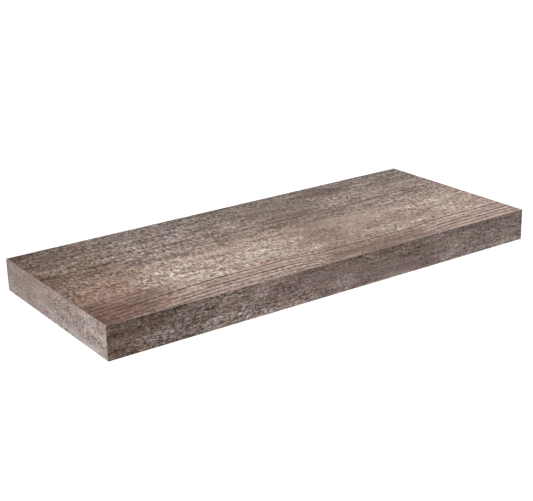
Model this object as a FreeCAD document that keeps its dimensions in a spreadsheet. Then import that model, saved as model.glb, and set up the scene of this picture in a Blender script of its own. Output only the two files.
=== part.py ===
# Floating wall shelf, 600 x 250 x 40 mm, with a hidden steel bracket.
#
# The board is a hollow-core panel: two thin fibreboard skins on a chipboard
# frame, with a core of folded paper ribbons in its bays, and decor edging on
# the front and on both ends. The bracket is a steel strip with two welded rods.
# It is screwed to the wall and lies in a recess in the board's back, and the
# board slides onto the rods. A grub screw under each rod locks the board.
#
# Frame, in millimetres: the wall is the plane y = 0, the room is on -Y, +X is
# to the right for someone who faces the wall, and z = 0 is halfway up the board.

import FreeCAD, Part
import Sketcher
import math
import os

# Driving sizes

SIZES = [
    ("shelf_length", 600.0, "board along the wall"),
    ("shelf_depth", 250.0, "board from the wall to its front"),
    ("shelf_thickness", 40.0, "board from underside to top"),
    ("skin_thickness", 3.0, "fibreboard skin"),
    ("band_thickness", 1.0, "decor edging"),
    ("band_radius", 0.5, "rounding of the edging's outer edges"),
    ("front_rail_width", 25.0, "chipboard behind the front edging"),
    ("end_rail_width", 25.0, "chipboard behind each end's edging"),
    ("back_rail_width", 22.0, "chipboard in front of the steel strip"),
    ("block_wall", 15.8, "chipboard on each side of a rod's bore"),
    ("paper_thickness", 0.6, "paper ribbon of the core"),
    ("cell_size", 26.0, "core cell across its flats, before it is stretched to fit"),
    ("plate_thickness", 3.0, "steel strip"),
    ("plate_corner_radius", 4.0, "steel strip's corners"),
    ("plate_front_clearance", 1.0, "steel strip to back rail"),
    ("plate_side_clearance", 3.0, "steel strip to each skin"),
    ("plate_end_clearance", 24.0, "steel strip to each end rail"),
    ("rod_diameter", 12.0, "steel rod"),
    ("rod_end_distance", 70.0, "rod's axis to the strip's nearer end"),
    ("rod_front_distance", 71.0, "rod's tip to front rail"),
    ("rod_tip_chamfer", 1.5, "rod's free end"),
    ("rod_shoulder", 2.0, "rod beyond its spigot, on the radius"),
    ("weld_leg", 2.5, "weld bead round each rod"),
    ("bore_clearance", 0.2, "rod to bore, on the radius"),
    ("bore_end_gap", 8.0, "rod's tip to the bore's end"),
    ("screw_spread", 45.0, "wall screw to its rod, along the strip"),
    ("screw_hole_diameter", 5.5, "wall screw's hole"),
    ("screw_land", 0.5, "straight part of that hole, behind its countersink"),
    ("lock_inset", 34.0, "back rail to the grub screw's axis"),
    ("thread_diameter", 6.0, "threaded insert's bore"),
    ("thread_clearance", 0.1, "grub screw to insert, on the radius"),
    ("insert_wall", 1.5, "insert round its bore"),
    ("insert_chamfer", 0.8, "insert's leading edge"),
    ("insert_fit", 0.05, "insert to block, on the radius"),
    ("insert_end_gap", 1.8, "insert to the rod's bore"),
    ("flange_rim", 2.0, "insert's flange beyond its body, on the radius"),
    ("flange_thickness", 1.5, "insert's flange"),
    ("flange_clearance", 0.5, "flange to skin, on the radius"),
    ("drive_margin", 0.2, "insert's hexagon beyond its bore, on each flat"),
    ("drive_depth", 2.5, "insert's hexagon"),
    ("lock_screw_chamfer", 0.7, "grub screw's tip and rim"),
    ("lock_screw_recess", 1.8, "grub screw's end inside the underside"),
    ("socket_wall", 1.4, "grub screw outside its hexagon's flats"),
    ("socket_depth", 3.5, "grub screw's hexagon"),
    ("tip_gap", 0.2, "grub screw's tip to rod"),
]

doc = FreeCAD.newDocument("wall_shelf")
sheet = doc.addObject("Spreadsheet::Sheet", "Sizes")
for row, (alias, number, note) in enumerate(SIZES, start=1):
    sheet.set(f"A{row}", alias)
    sheet.set(f"B{row}", str(number))
    sheet.set(f"C{row}", note)
    sheet.setAlias(f"B{row}", alias)
doc.recompute()


class Size:
    """A size that carries its number and the sheet formula that drives it."""

    def __init__(self, number, formula):
        self.number = number
        self.formula = formula

    def __add__(self, other):
        other = as_size(other)
        return Size(self.number + other.number, f"({self.formula} + {other.formula})")

    def __sub__(self, other):
        other = as_size(other)
        return Size(self.number - other.number, f"({self.formula} - {other.formula})")

    def __mul__(self, factor):
        factor = as_size(factor)
        return Size(self.number * factor.number, f"({self.formula} * {factor.formula})")

    def __truediv__(self, factor):
        factor = as_size(factor)
        return Size(self.number / factor.number, f"({self.formula} / {factor.formula})")

    def __neg__(self):
        return Size(-self.number, f"(0 - {self.formula})")


def as_size(value):
    """A plain number as a Size whose formula is the number itself."""
    return value if isinstance(value, Size) else Size(float(value), repr(float(value)))


def size(alias):
    """The size in the sheet's cell of that name."""
    return Size(float(sheet.get(alias)), f"Sizes.{alias}")


# Sizes that follow from the driving ones

SIDES = (("left", -1), ("right", 1))
HEXAGON_CORNER_SHARE = 1 / math.sqrt(3)

half_length = size("shelf_length") / 2
half_thickness = size("shelf_thickness") / 2
skin = size("skin_thickness")
band = size("band_thickness")
core_height = size("shelf_thickness") - skin * 2
core_bottom = skin - half_thickness
skin_half_length = half_length - band
skin_depth = size("shelf_depth") - band
rail_depth = skin_depth - size("front_rail_width")
end_rail_inner = skin_half_length - size("end_rail_width")
recess_depth = size("plate_thickness") + size("plate_front_clearance")
bay_start = recess_depth + size("back_rail_width")
bay_depth = rail_depth - bay_start

plate_half_length = end_rail_inner - size("plate_end_clearance")
plate_half_height = core_height / 2 - size("plate_side_clearance")
rod_radius = size("rod_diameter") / 2
rod_offset = plate_half_length - size("rod_end_distance")
rod_tip = rail_depth - size("rod_front_distance")
spigot_radius = rod_radius - size("rod_shoulder")
bore_radius = rod_radius + size("bore_clearance")
mouth_chamfer = size("weld_leg") + size("plate_front_clearance")
block_half_width = bore_radius + size("block_wall")
countersink_width = size("plate_thickness") - size("screw_land")
screw_head_diameter = size("screw_hole_diameter") + countersink_width * 2

lock_depth = bay_start + size("lock_inset")
thread_radius = size("thread_diameter") / 2
insert_radius = thread_radius + size("insert_wall")
insert_hole_radius = insert_radius + size("insert_fit")
insert_length = core_height / 2 - bore_radius - size("insert_end_gap")
flange_radius = insert_radius + size("flange_rim")
flange_hole_radius = flange_radius + size("flange_clearance")
lock_screw_radius = thread_radius - size("thread_clearance")
lock_screw_top = -rod_radius - size("tip_gap")
lock_screw_length = lock_screw_top + half_thickness - size("lock_screw_recess")


# Drawing and shaping

def new_body(label):
    """An empty body for one sub-part."""
    body = doc.addObject("PartDesign::Body", label)
    body.Label = label
    return body


def new_sketch(body, role, name):
    """An empty sketch on the origin plane of that role."""
    plane = next(item for item in body.Origin.OriginFeatures if item.Role == role)
    sketch = body.newObject("Sketcher::SketchObject", name)
    sketch.AttachmentSupport = (plane, [""])
    sketch.MapMode = "FlatFace"
    return sketch


def constrain(sketch, *constraint):
    """Adds a constraint and gives back its number."""
    return sketch.addConstraint(Sketcher.Constraint(*constraint))


def tie_point(sketch, geometry, vertex, x, y):
    """Ties a point of the sketch to its two coordinates."""
    for kind, value, axis in (("DistanceX", x, -2), ("DistanceY", y, -1)):
        value = as_size(value)
        if value.number == 0:
            constrain(sketch, "PointOnObject", geometry, vertex, axis)
        else:
            index = constrain(sketch, kind, -1, 1, geometry, vertex, value.number)
            sketch.setExpression(f"Constraints[{index}]", value.formula)


def as_point(x, y):
    """The sketch point with those coordinates, as they are now."""
    return FreeCAD.Vector(as_size(x).number, as_size(y).number, 0)


def draw_outline(sketch, corners):
    """Closes straight lines through the corners and ties each corner to its sizes."""
    first = sketch.GeometryCount
    count = len(corners)
    points = [as_point(x, y) for x, y in corners]
    for i in range(count):
        sketch.addGeometry(Part.LineSegment(points[i], points[(i + 1) % count]), False)
    for i, (x, y) in enumerate(corners):
        constrain(sketch, "Coincident", first + i, 2, first + (i + 1) % count, 1)
        tie_point(sketch, first + i, 1, x, y)


def draw_rectangle(sketch, left, right, low, high):
    """A rectangle between two places on each sketch axis."""
    draw_outline(sketch, [(left, low), (right, low), (right, high), (left, high)])


def draw_circle(sketch, x, y, radius):
    """A circle whose centre and radius follow their sizes."""
    circle = Part.Circle(as_point(x, y), FreeCAD.Vector(0, 0, 1), radius.number)
    index = sketch.addGeometry(circle, False)
    tie_point(sketch, index, 3, x, y)
    limit = constrain(sketch, "Radius", index, radius.number)
    sketch.setExpression(f"Constraints[{limit}]", radius.formula)


def draw_hexagon(sketch, across_flats):
    """A hexagon about the sketch's origin, with two corners on its horizontal axis."""
    reach = across_flats * HEXAGON_CORNER_SHARE
    half = across_flats / 2
    right = [(reach / 2, -half), (reach, 0), (reach / 2, half)]
    left = [(-reach / 2, half), (-reach, 0), (-reach / 2, -half)]
    draw_outline(sketch, right + left)


def extrude(body, kind, sketch, name, length, reverse):
    """A pad or pocket whose length follows its size."""
    feature = body.newObject(f"PartDesign::{kind}", name)
    feature.Profile = sketch
    feature.setExpression("Length", length.formula)
    feature.Reversed = reverse
    doc.recompute()
    return feature


def pad(body, sketch, name, length, reverse=False):
    """Material from the sketch, along its normal or against it."""
    return extrude(body, "Pad", sketch, name, length, reverse)


def pocket(body, sketch, name, length, reverse=False):
    """A cut from the sketch, against its normal or along it."""
    volume = body.Shape.Volume
    feature = extrude(body, "Pocket", sketch, name, length, reverse)
    if body.Shape.Volume >= volume:
        raise RuntimeError(f"{body.Label}: {name} cuts nothing")
    return feature


def revolve(body, sketch, name):
    """Material turned about the sketch's own vertical axis."""
    feature = body.newObject("PartDesign::Revolution", name)
    feature.Profile = sketch
    feature.ReferenceAxis = (sketch, ["V_Axis"])
    doc.recompute()


def dress_edges(body, kind, base, name, amount, is_wanted):
    """A fillet or chamfer on the base's edges for which is_wanted says so."""
    edges = enumerate(base.Shape.Edges, start=1)
    feature = body.newObject(f"PartDesign::{kind}", name)
    feature.Base = (base, [f"Edge{i}" for i, edge in edges if is_wanted(edge)])
    feature.setExpression("Radius" if kind == "Fillet" else "Size", amount.formula)
    doc.recompute()


def lies_at(coordinate, place):
    """Whether a measured coordinate is at a place."""
    return abs(coordinate - as_size(place).number) < Part.Precision.confusion()


def seat(item, x, y, z):
    """Puts a sub-part's own origin at a place in the shelf's frame and keeps it."""
    for axis, value in zip("xyz", (x, y, z)):
        item.setExpression(f"Placement.Base.{axis}", as_size(value).formula)
    parts.append(item)


parts = []


# Bracket

def make_wall_plate():
    """Steel strip with rounded corners, rod holes and countersunk screw holes."""
    body = new_body("wall_plate")
    outline = new_sketch(body, "XZ_Plane", "strip_outline")
    draw_rectangle(
        outline, -plate_half_length, plate_half_length, -plate_half_height, plate_half_height
    )
    strip = pad(body, outline, "strip", size("plate_thickness"), reverse=True)
    mid_thickness = size("plate_thickness") / 2
    dress_edges(
        body, "Fillet", strip, "rounded_corners", size("plate_corner_radius"),
        lambda edge: lies_at(edge.CenterOfMass.y, mid_thickness),
    )
    spigots = new_sketch(body, "XZ_Plane", "spigot_places")
    screws = new_sketch(body, "XZ_Plane", "screw_places")
    for _, side in SIDES:
        draw_circle(spigots, rod_offset * side, 0, spigot_radius)
        for spread in (-size("screw_spread"), size("screw_spread")):
            x = (rod_offset + spread) * side
            draw_circle(screws, x, 0, size("screw_hole_diameter") / 2)
    pocket(body, spigots, "spigot_holes", size("plate_thickness"), reverse=False)
    holes = body.newObject("PartDesign::Hole", "screw_holes")
    holes.Profile = screws
    holes.ThreadType = 0
    holes.DepthType = "ThroughAll"
    holes.HoleCutType = "Countersink"
    holes.HoleCutCountersinkAngle = 90
    holes.setExpression("Diameter", size("screw_hole_diameter").formula)
    holes.setExpression("HoleCutDiameter", screw_head_diameter.formula)
    doc.recompute()
    seat(body, 0, -size("plate_thickness"), 0)


def make_rod(side_name, side):
    """Turned steel rod: a spigot through the strip, the shank and a bevelled tip."""
    body = new_body(f"rod_{side_name}")
    section = new_sketch(body, "XY_Plane", "half_section")
    bevel = size("rod_tip_chamfer")
    spigot = [(0, 0), (spigot_radius, 0), (spigot_radius, -size("plate_thickness"))]
    shank = [(rod_radius, -size("plate_thickness")), (rod_radius, bevel - rod_tip)]
    tip = [(rod_radius - bevel, -rod_tip), (0, -rod_tip)]
    draw_outline(section, spigot + shank + tip)
    revolve(body, section, "turned_rod")
    seat(body, rod_offset * side, 0, 0)


def make_weld_bead(side_name, side):
    """Weld bead in the corner between a rod and the strip."""
    body = new_body(f"weld_bead_{side_name}")
    section = new_sketch(body, "XY_Plane", "bead_section")
    leg = size("weld_leg")
    draw_outline(section, [(rod_radius, 0), (rod_radius + leg, 0), (rod_radius, -leg)])
    revolve(body, section, "bead")
    seat(body, rod_offset * side, -size("plate_thickness"), 0)


# Board frame

def make_front_rail():
    """Chipboard rail along the board's front, behind the edging."""
    body = new_body("front_rail")
    outline = new_sketch(body, "XY_Plane", "rail_outline")
    draw_rectangle(outline, -skin_half_length, skin_half_length, -skin_depth, -rail_depth)
    pad(body, outline, "rail", core_height)
    seat(body, 0, 0, core_bottom)


def make_end_rail(side_name, side):
    """Chipboard rail at an end, from the wall to the front rail."""
    body = new_body(f"end_rail_{side_name}")
    outline = new_sketch(body, "XY_Plane", "rail_outline")
    half_width = size("end_rail_width") / 2
    draw_rectangle(outline, -half_width, half_width, -rail_depth, 0)
    pad(body, outline, "rail", core_height)
    seat(body, (skin_half_length - half_width) * side, 0, core_bottom)


def make_back_rail():
    """Chipboard rail in front of the strip's recess, with a wide mouth at each bore."""
    body = new_body("back_rail")
    outline = new_sketch(body, "XY_Plane", "rail_outline")
    draw_rectangle(outline, -end_rail_inner, end_rail_inner, -size("back_rail_width"), 0)
    pad(body, outline, "rail", core_height)
    bores = new_sketch(body, "XZ_Plane", "bore_places")
    for _, side in SIDES:
        draw_circle(bores, rod_offset * side, core_height / 2, bore_radius)
    bored = pocket(body, bores, "bores", size("back_rail_width"), reverse=True)
    dress_edges(
        body, "Chamfer", bored, "bore_mouths", mouth_chamfer,
        lambda edge: isinstance(edge.Curve, Part.Circle) and lies_at(edge.CenterOfMass.y, 0),
    )
    seat(body, 0, -recess_depth, core_bottom)


def make_rod_block(side_name, side):
    """Chipboard block that guides a rod, with the hole for its threaded insert."""
    body = new_body(f"rod_block_{side_name}")
    outline = new_sketch(body, "XY_Plane", "block_outline")
    draw_rectangle(outline, -block_half_width, block_half_width, -bay_depth, 0)
    pad(body, outline, "block", core_height)
    bore = new_sketch(body, "XZ_Plane", "bore_place")
    draw_circle(bore, 0, core_height / 2, bore_radius)
    bore_depth = rod_tip + size("bore_end_gap") - bay_start
    pocket(body, bore, "bore", bore_depth, reverse=True)
    insert_place = new_sketch(body, "XY_Plane", "insert_place")
    draw_circle(insert_place, 0, -size("lock_inset"), insert_hole_radius)
    pocket(body, insert_place, "insert_hole", insert_length, reverse=True)
    screw_place = new_sketch(body, "XY_Plane", "screw_place")
    draw_circle(screw_place, 0, -size("lock_inset"), thread_radius)
    pocket(body, screw_place, "screw_hole", core_height / 2, reverse=True)
    seat(body, rod_offset * side, -bay_start, core_bottom)


# Paper core

FLAT_SHARE = 1 / 3
SLOPE_SHARE = 1 / 6


def ribbon_outline(wave, folds, reach, paper):
    """The outline of one folded paper ribbon, seen from above.

    The ribbon runs along -Y in waves of two flats and two slopes. Its flats lie at
    reach on either side of its middle line, where they meet the next ribbon's flats
    and are glued to them. The outline keeps the paper's thickness round every fold.
    """
    flat = wave * FLAT_SHARE
    slope = wave * SLOPE_SHARE
    fold_angle = math.atan2(reach * 2 - paper, slope)
    mitre = paper / 2 * math.tan(fold_angle / 2)
    inner = reach - paper
    right_edge = [(reach, 0)]
    left_edge = [(inner, 0)]
    for fold in range(folds):
        leave_right = wave * fold + flat / 2
        reach_left = leave_right + slope
        leave_left = reach_left + flat
        reach_right = leave_left + slope
        right_edge += [(reach, leave_right + mitre), (-inner, reach_left + mitre)]
        right_edge += [(-inner, leave_left - mitre), (reach, reach_right - mitre)]
        left_edge += [(inner, leave_right - mitre), (-reach, reach_left - mitre)]
        left_edge += [(-reach, leave_left + mitre), (inner, reach_right + mitre)]
    right_edge.append((reach, wave * folds))
    left_edge.append((inner, wave * folds))
    return right_edge + left_edge[::-1]


def make_paper_core(label, width, x):
    """A bay's core: folded ribbons, glued flat to flat and stretched to fill the bay."""
    cell = size("cell_size").number
    depth = bay_depth.number
    folds = max(1, round(depth / (cell * math.sqrt(3))))
    ribbons = max(2, round(width.number / (cell / 2)))
    pitch = width.number / ribbons
    paper = size("paper_thickness").number
    outline = ribbon_outline(depth / folds, folds, pitch / 2, paper)
    solids = []
    for ribbon in range(ribbons):
        middle = pitch * (ribbon + 1 / 2)
        turn = 1 if ribbon % 2 == 0 else -1
        points = [FreeCAD.Vector(middle + turn * px, -py, 0) for px, py in outline]
        face = Part.Face(Part.makePolygon(points + points[:1]))
        solids.append(face.extrude(FreeCAD.Vector(0, 0, core_height.number)))
    core = doc.addObject("Part::Feature", label)
    core.Label = label
    core.Shape = Part.makeCompound(solids)
    seat(core, x, -bay_start, core_bottom)


# Skins and edging

def make_skin(label, z, has_lock_holes):
    """Decor-faced fibreboard skin. The lower one has a hole for each insert's flange."""
    body = new_body(label)
    outline = new_sketch(body, "XY_Plane", "skin_outline")
    draw_rectangle(outline, -skin_half_length, skin_half_length, -skin_depth, 0)
    pad(body, outline, "skin", skin)
    if has_lock_holes:
        places = new_sketch(body, "XY_Plane", "lock_places")
        for _, side in SIDES:
            draw_circle(places, rod_offset * side, -lock_depth, flange_hole_radius)
        pocket(body, places, "lock_holes", skin, reverse=True)
    seat(body, 0, 0, z)


def make_front_band():
    """Edging over the whole front, and over the cut ends of the other two bands."""
    body = new_body("front_edge_band")
    outline = new_sketch(body, "XZ_Plane", "band_outline")
    draw_rectangle(outline, -half_length, half_length, -half_thickness, half_thickness)
    strip = pad(body, outline, "band", band)
    dress_edges(
        body, "Fillet", strip, "rounded_edges", size("band_radius"),
        lambda edge: lies_at(edge.CenterOfMass.y, -band),
    )
    seat(body, 0, -skin_depth, 0)


def make_end_band(side_name, side):
    """Edging over one end, from the wall to the front band."""
    body = new_body(f"end_edge_band_{side_name}")
    outline = new_sketch(body, "YZ_Plane", "band_outline")
    draw_rectangle(outline, -skin_depth, 0, -half_thickness, half_thickness)
    strip = pad(body, outline, "band", band, reverse=side < 0)
    dress_edges(
        body, "Fillet", strip, "rounded_edges", size("band_radius"),
        lambda edge: lies_at(edge.CenterOfMass.x, band * side)
        and not lies_at(edge.CenterOfMass.z, 0),
    )
    seat(body, skin_half_length * side, 0, 0)


# Locks

def make_threaded_insert(side_name, side):
    """Flanged insert with a hexagon for driving it in, seated under the rod block."""
    body = new_body(f"threaded_insert_{side_name}")
    section = new_sketch(body, "XZ_Plane", "half_section")
    flange = size("flange_thickness")
    bevel = size("insert_chamfer")
    rim = [(thread_radius, -flange), (flange_radius, -flange), (flange_radius, 0)]
    sleeve = [(insert_radius, 0), (insert_radius, insert_length - bevel)]
    end = [(insert_radius - bevel, insert_length), (thread_radius, insert_length)]
    draw_outline(section, rim + sleeve + end)
    revolve(body, section, "turned_insert")
    drive = new_sketch(body, "XY_Plane", "drive_outline")
    drive.setExpression("AttachmentOffset.Base.z", (-flange).formula)
    draw_hexagon(drive, size("thread_diameter") + size("drive_margin") * 2)
    pocket(body, drive, "drive", size("drive_depth"), reverse=True)
    seat(body, rod_offset * side, -lock_depth, core_bottom)


def make_locking_screw(side_name, side):
    """Grub screw with a hexagon socket below and a bevelled tip under the rod."""
    body = new_body(f"locking_screw_{side_name}")
    section = new_sketch(body, "XZ_Plane", "half_section")
    bevel = size("lock_screw_chamfer")
    flat_radius = lock_screw_radius - bevel
    lower = [(0, -lock_screw_length), (flat_radius, -lock_screw_length)]
    thread = [(lock_screw_radius, bevel - lock_screw_length), (lock_screw_radius, -bevel)]
    draw_outline(section, lower + thread + [(flat_radius, 0), (0, 0)])
    revolve(body, section, "turned_screw")
    socket = new_sketch(body, "XY_Plane", "socket_outline")
    socket.setExpression("AttachmentOffset.Base.z", (-lock_screw_length).formula)
    draw_hexagon(socket, (lock_screw_radius - size("socket_wall")) * 2)
    pocket(body, socket, "socket", size("socket_depth"), reverse=True)
    seat(body, rod_offset * side, -lock_depth, lock_screw_top)


# Assembly

make_wall_plate()
make_front_rail()
make_back_rail()
make_skin("top_skin", half_thickness - skin, has_lock_holes=False)
make_skin("bottom_skin", -half_thickness, has_lock_holes=True)
make_front_band()
for side_name, side in SIDES:
    make_rod(side_name, side)
    make_weld_bead(side_name, side)
    make_end_rail(side_name, side)
    make_end_band(side_name, side)
    make_rod_block(side_name, side)
    make_threaded_insert(side_name, side)
    make_locking_screw(side_name, side)

block_outer = rod_offset + block_half_width
block_inner = rod_offset - block_half_width
make_paper_core("paper_core_left", end_rail_inner - block_outer, -end_rail_inner)
make_paper_core("paper_core_centre", block_inner * 2, -block_inner)
make_paper_core("paper_core_right", end_rail_inner - block_outer, block_outer)
doc.recompute()

# Checks and files

for item in doc.Objects:
    if "Invalid" in item.State or "Error" in item.State:
        raise RuntimeError(f"{item.Label} failed: {item.State}")
for part in parts:
    if part.Shape.isNull() or not part.Shape.isValid():
        raise RuntimeError(f"{part.Label} has no valid shape")

os.makedirs("parts", exist_ok=True)
for part in parts:
    part.Shape.exportStep(f"parts/{part.Label}.step")
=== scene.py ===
import math

import bpy
from mathutils import Matrix, Vector


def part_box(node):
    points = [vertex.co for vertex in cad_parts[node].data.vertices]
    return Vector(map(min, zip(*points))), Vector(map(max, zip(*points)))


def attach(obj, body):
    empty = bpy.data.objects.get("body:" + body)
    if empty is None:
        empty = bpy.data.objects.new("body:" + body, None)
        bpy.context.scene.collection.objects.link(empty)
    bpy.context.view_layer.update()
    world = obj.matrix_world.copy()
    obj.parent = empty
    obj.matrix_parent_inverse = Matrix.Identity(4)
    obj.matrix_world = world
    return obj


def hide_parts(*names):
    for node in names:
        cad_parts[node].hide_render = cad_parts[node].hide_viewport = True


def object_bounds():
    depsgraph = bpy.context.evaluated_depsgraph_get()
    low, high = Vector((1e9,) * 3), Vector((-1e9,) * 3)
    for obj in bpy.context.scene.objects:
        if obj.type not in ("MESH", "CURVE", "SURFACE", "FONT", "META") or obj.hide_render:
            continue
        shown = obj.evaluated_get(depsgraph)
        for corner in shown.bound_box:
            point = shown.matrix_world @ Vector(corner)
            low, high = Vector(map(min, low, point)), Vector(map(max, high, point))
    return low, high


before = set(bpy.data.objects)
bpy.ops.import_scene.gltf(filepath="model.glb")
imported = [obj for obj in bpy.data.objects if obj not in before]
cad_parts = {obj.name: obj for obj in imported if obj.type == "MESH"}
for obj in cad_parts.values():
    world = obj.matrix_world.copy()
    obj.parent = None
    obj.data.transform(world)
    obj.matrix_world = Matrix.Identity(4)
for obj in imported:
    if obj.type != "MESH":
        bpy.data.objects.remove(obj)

cad_low, cad_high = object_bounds()


# Camera: it stands to the front left of the shelf, a little above it, and looks down the board.
# The picture is 533 pixels wide, and a fairly long lens keeps the board's sides nearly parallel.
CAMERA_AZIMUTH = math.radians(-34.6137)
CAMERA_ELEVATION = math.radians(19.9347)
CAMERA_ROLL = math.radians(-1.4511)
CAMERA_RIGHT = 0.0597368
CAMERA_UP = -0.0171446
CAMERA_BACK = 1.54592
SENSOR_WIDTH = 36.0
PICTURE_WIDTH = 533
FOCAL_PIXELS = 1168.64
QUARTER_TURN = math.radians(90.0)

shelf_underside = Vector((0.0, 0.0, cad_low.z))
camera_turn = (
    Matrix.Rotation(CAMERA_AZIMUTH, 4, "Z")
    @ Matrix.Rotation(QUARTER_TURN - CAMERA_ELEVATION, 4, "X")
    @ Matrix.Rotation(CAMERA_ROLL, 4, "Z")
)


def new_object(name, data):
    """An object added to the scene."""
    made = bpy.data.objects.new(name, data)
    bpy.context.scene.collection.objects.link(made)
    return made


camera_data = bpy.data.cameras.new("camera")
camera_data.sensor_width = SENSOR_WIDTH
camera_data.lens = FOCAL_PIXELS * SENSOR_WIDTH / PICTURE_WIDTH
camera = new_object("camera", camera_data)
camera_place = camera_turn @ Vector((CAMERA_RIGHT, CAMERA_UP, CAMERA_BACK))
camera.matrix_world = Matrix.Translation(shelf_underside + camera_place) @ camera_turn
bpy.context.scene.camera = camera
bpy.context.scene.view_settings.view_transform = "Standard"


# Room: a plain pale floor as far below the shelf as it hangs in a room, and an even white surround.
# A broad soft lamp stands high on the left and a weaker one behind on the right.
FLOOR_DROP = 1.8
FLOOR_HALF_SIZE = 60.0
FLOOR_COLOUR = (0.80, 0.80, 0.80, 1.0)
FLOOR_LIFT = 0.32
WHITE = (1.0, 1.0, 1.0, 1.0)
SURROUND_LEVEL = 0.50
KEY_FROM = Vector((-0.62, -0.10, 0.74))
KEY_LEVEL = 0.57
FILL_FROM = Vector((0.80, 0.20, 0.56))
FILL_LEVEL = 0.20
LAMP_SPREAD = math.radians(35.0)


class NodeMaker:
    """Adds nodes to one tree; an input is another node's socket or a plain value."""

    def __init__(self, tree):
        self.tree = tree

    def feed(self, socket, value):
        """Joins another node's socket to this one, or sets a plain value on it."""
        if isinstance(value, bpy.types.NodeSocket):
            self.tree.links.new(value, socket)
        else:
            socket.default_value = value

    def node(self, kind, inputs=None, **settings):
        """A new node with these inputs and settings."""
        node = self.tree.nodes.new(kind)
        for name, value in settings.items():
            setattr(node, name, value)
        for name, value in (inputs or {}).items():
            self.feed(node.inputs[name], value)
        return node

    def add(self, kind, inputs=None, output=0, **settings):
        """One output of a new node."""
        return self.node(kind, inputs, **settings).outputs[output]

    def math(self, operation, *values):
        return self.add("ShaderNodeMath", dict(enumerate(values)), operation=operation)

    def times(self, product, *others):
        """The product of these values."""
        for value in others:
            product = self.math("MULTIPLY", product, value)
        return product

    def minus(self, first, second):
        return self.math("SUBTRACT", first, second)

    def apart(self, first, second):
        """How far apart two values are."""
        return self.math("ABSOLUTE", self.minus(first, second))

    def vector(self, operation, *values, output="Vector"):
        return self.add("ShaderNodeVectorMath", dict(enumerate(values)), output, operation=operation)

    def axes(self, place):
        """A vector's X, Y and Z."""
        return self.node("ShaderNodeSeparateXYZ", {"Vector": place}).outputs

    def combine(self, x=0.0, y=0.0, z=0.0):
        """A vector from its X, Y and Z."""
        return self.add("ShaderNodeCombineXYZ", {"X": x, "Y": y, "Z": z})


def spot_counts(size):
    """Spots per metre in each direction, for spots of that size."""
    return Vector([1.0 / length for length in size])


class Finish(NodeMaker):
    """The nodes of one finish: a material, the surround, or a group that several finishes share."""

    def place(self):
        """The place on the piece, in metres."""
        return self.add("ShaderNodeTexCoord", output="Object")

    def remap(self, value, low, high, to_low=0.0, to_high=1.0, shape="SMOOTHSTEP"):
        """Spreads low..high over to_low..to_high, and holds the ends; a table of four gives all these."""
        ends = {"Value": value, "From Min": low, "From Max": high, "To Min": to_low, "To Max": to_high}
        return self.add("ShaderNodeMapRange", ends, interpolation_type=shape)

    def mix(self, share, first, second, blend="MIX"):
        """Mixes two colours."""
        inputs = {0: share, 6: first, 7: second}
        return self.add("ShaderNodeMix", inputs, output=2, data_type="RGBA", blend_type=blend)

    def ramp(self, value, stops):
        """A colour that changes smoothly with value; stops lists (place, colour)."""
        node = self.node("ShaderNodeValToRGB", {0: value})
        node.color_ramp.interpolation = "EASE"
        points = node.color_ramp.elements
        while len(points) < len(stops):
            points.new(1.0)
        for point, (place, colour) in zip(points, stops):
            point.position = place
            point.color = colour
        return node.outputs[0]

    def counted(self, place, size, shift=0.0):
        """The place counted in spots of that size; shift moves it to another part of the pattern."""
        move = {"Vector": place, "Location": (shift,) * 3, "Scale": spot_counts(size)}
        return self.add("ShaderNodeMapping", move)

    def speckle(self, counted, detail, roughness=0.5, curl=0.0):
        """Cloudy noise with a spot for about each unit of the counted place."""
        settings = {"Scale": 1.0, "Detail": detail, "Roughness": roughness, "Distortion": curl}
        return self.add("ShaderNodeTexNoise", {"Vector": counted, **settings})

    def noise(self, place, size, shift=0.0, detail=1.0, roughness=0.5, curl=0.0):
        """Cloudy noise whose spots are size long in each direction."""
        return self.speckle(self.counted(place, size, shift), detail, roughness, curl)

    def cells(self, counted):
        """One cell for each unit of the counted place: its own number, and the distance to its point."""
        cells = self.node("ShaderNodeTexVoronoi", {"Vector": counted, "Scale": 1.0}).outputs
        return self.add("ShaderNodeSeparateColor", {"Color": cells["Color"]}), cells["Distance"]

    def relief(self, height, strength, depth):
        """Small hills and hollows on the surface, depth metres from height 0 to height 1."""
        return self.add("ShaderNodeBump", {"Height": height, "Strength": strength, "Distance": depth})

    def group(self, tree, inputs):
        """Places a shared group and gives its outputs."""
        return self.node("ShaderNodeGroup", inputs, node_tree=tree).outputs

    def surface(self, inputs):
        """The shader that the finish ends in."""
        shader = self.add("ShaderNodeBsdfPrincipled", inputs)
        self.node("ShaderNodeOutputMaterial", {"Surface": shader})


world = bpy.data.worlds.new("surround")
bpy.context.scene.world = world
world.use_nodes = True
world.node_tree.nodes.clear()
surround = Finish(world.node_tree)


def seen_as_white(finish):
    """1 where the camera, a reflection or clear glass looks, and 0 for the light that falls on things."""
    rays = finish.node("ShaderNodeLightPath").outputs
    mirrored = finish.math("MAXIMUM", rays["Is Glossy Ray"], rays["Is Transmission Ray"])
    return finish.math("MAXIMUM", rays["Is Camera Ray"], mirrored)


surround_strength = surround.remap(seen_as_white(surround), 0.0, 1.0, SURROUND_LEVEL, 1.0, "LINEAR")
surround_light = surround.add("ShaderNodeBackground", {"Color": WHITE, "Strength": surround_strength})
surround.node("ShaderNodeOutputWorld", {"Surface": surround_light})


def new_material(name):
    """An empty node material and the finish that fills it."""
    material = bpy.data.materials.new(name)
    material.use_nodes = True
    material.node_tree.nodes.clear()
    return material, Finish(material.node_tree)


floor_material, floor_finish = new_material("pale_floor")
floor_finish.surface({
    "Base Color": FLOOR_COLOUR,
    "Roughness": 1.0,
    "Specular IOR Level": 0.0,
    "Emission Color": WHITE,
    "Emission Strength": floor_finish.times(seen_as_white(floor_finish), FLOOR_LIFT),
})

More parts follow.
